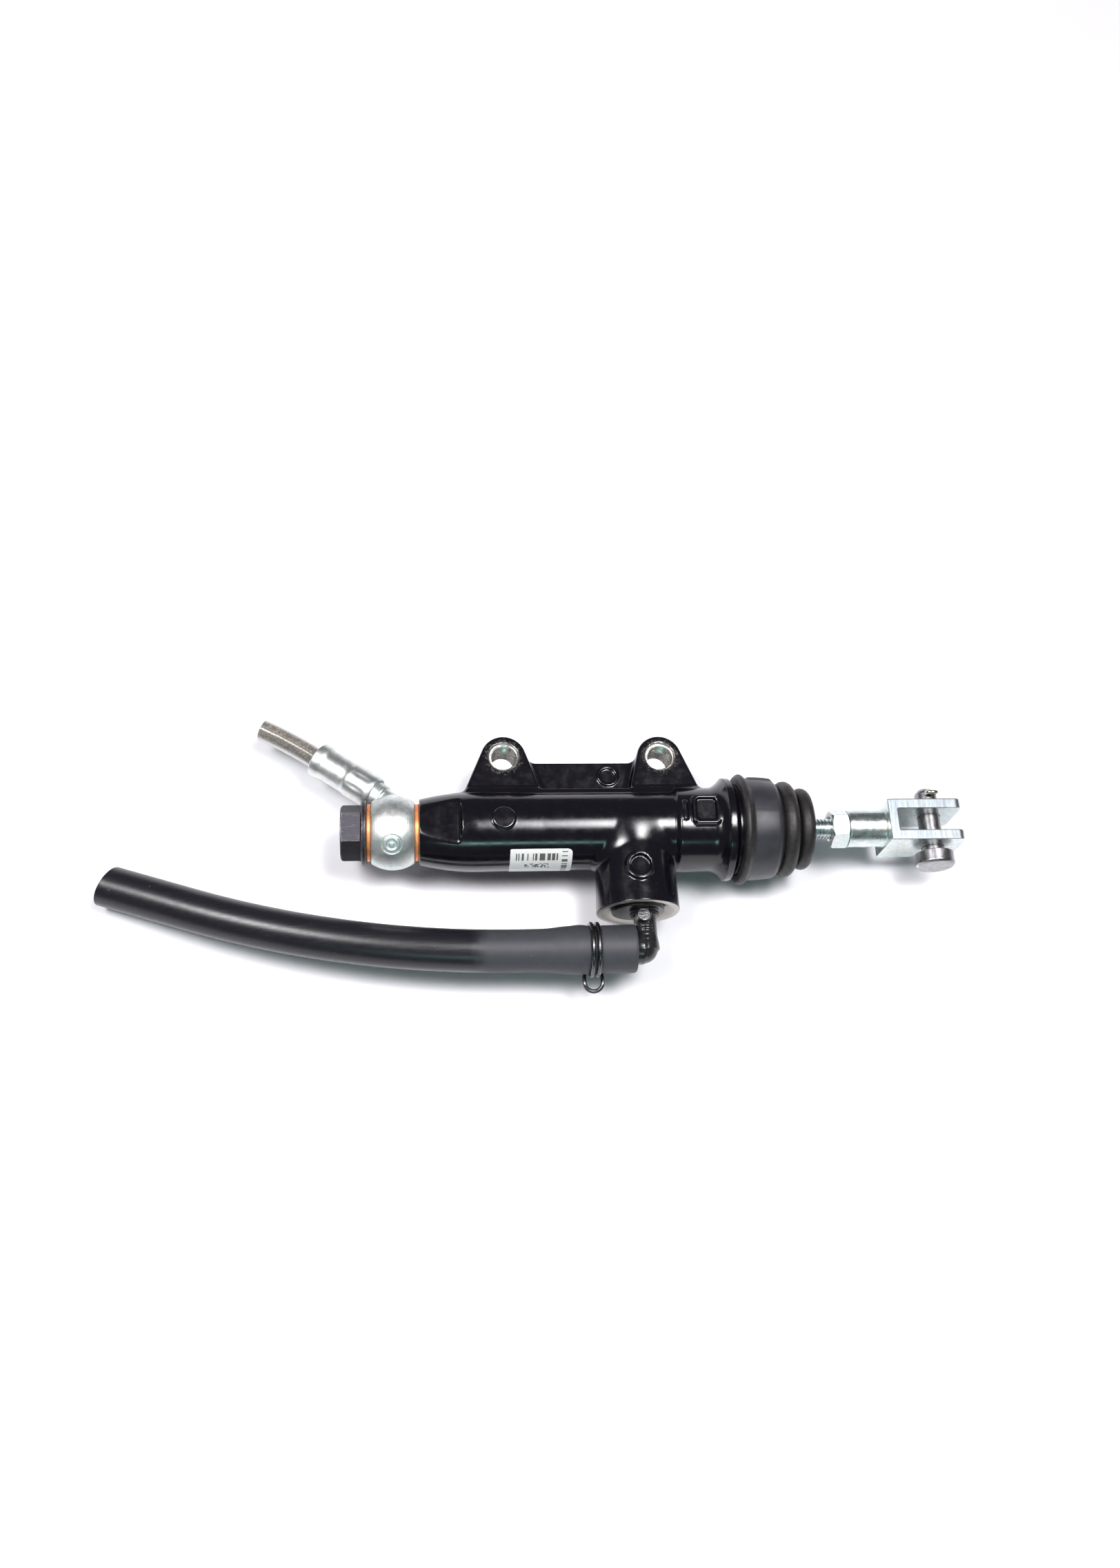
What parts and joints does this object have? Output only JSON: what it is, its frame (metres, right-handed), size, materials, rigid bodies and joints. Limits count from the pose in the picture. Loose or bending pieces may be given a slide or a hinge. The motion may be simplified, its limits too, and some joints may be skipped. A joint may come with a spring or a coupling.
{
  "type": "brake master cylinder",
  "caption": "Rear brake master cylinder with side reservoir elbow and hose, ball banjo outlet with brake hose stub, dust boot, push rod and pedal clevis.",
  "frame": {"origin": "midway between the centres of the two mounting bolt holes, at half the thickness of the ears", "axes": "+X along the cylinder bore towards the push rod, +Y from the bore towards the mounting ears, +Z along the mounting bolts"},
  "size_m": [0.2446, 0.0839, 0.0328],
  "materials": {
    "black_paint": "gloss black paint over cast aluminium",
    "black_steel": "dark phosphated steel",
    "copper": "bright copper",
    "zinc_steel": "clear zinc plated steel",
    "plain_steel": "plain turned steel",
    "yellow_zinc": "pale yellow zinc plated steel",
    "spring_steel": "plain spring steel",
    "black_spring_steel": "black coated spring wire",
    "anodised": "hard anodised aluminium",
    "boot_rubber": "matte moulded rubber",
    "hose_rubber": "satin extruded rubber",
    "seal_rubber": "smooth rubber",
    "black_plastic": "glass filled nylon, glossy",
    "liner_plastic": "milky fluoropolymer",
    "clear_jacket": "clear polymer jacket",
    "braid": "woven stainless wire",
    "label_paper": "white film label"
  },
  "bodies": {
    "cylinder": {"cylinder_body": "black_paint", "banjo_bolt": "black_steel", "banjo_washers": "copper", "banjo_fitting": "zinc_steel", "crimp_ferrule": "zinc_steel", "brake_hose_liner": "liner_plastic", "brake_hose_braid": "braid", "brake_hose_jacket": "clear_jacket", "part_label": "label_paper", "return_spring": "spring_steel", "stop_washer": "plain_steel", "retaining_circlip": "spring_steel", "dust_boot": "boot_rubber"},
    "elbow": {"reservoir_elbow": "black_plastic", "elbow_o_ring": "seal_rubber", "elbow_snap_ring": "spring_steel", "reservoir_hose": "hose_rubber", "hose_clamp": "black_spring_steel"},
    "piston": {"piston": "anodised", "spring_seat": "plain_steel", "primary_cup": "seal_rubber", "cup_shim": "plain_steel", "secondary_cup": "seal_rubber"},
    "pushrod": {"pushrod": "zinc_steel", "lock_nut": "zinc_steel", "clevis": "zinc_steel"},
    "pin": {"clevis_pin": "plain_steel", "split_pin": "yellow_zinc"}
  },
  "joints": [
    {"name": "piston_stroke", "type": "slide", "parent": "cylinder", "child": "piston", "axis": [-1, 0, 0], "range_m": [0, 0.009], "stiffness_N_per_m": 1500, "springref_m": -0.01, "deforming": ["return_spring", "dust_boot"]},
    {"name": "pushrod_swivel", "type": "hinge", "parent": "piston", "child": "pushrod", "pos_m": [0.0426, -0.0208, 0], "axis": [0, 1, 0], "range_deg": [-5, 5]},
    {"name": "clevis_pin_turn", "type": "hinge", "parent": "pushrod", "child": "pin", "pos_m": [0.1018, -0.0208, 0], "axis": [0, 1, 0], "continuous": true},
    {"name": "elbow_swivel", "type": "hinge", "parent": "cylinder", "child": "elbow", "pos_m": [0.014, -0.0452, 0], "axis": [0, 1, 0], "continuous": true}
  ]
}
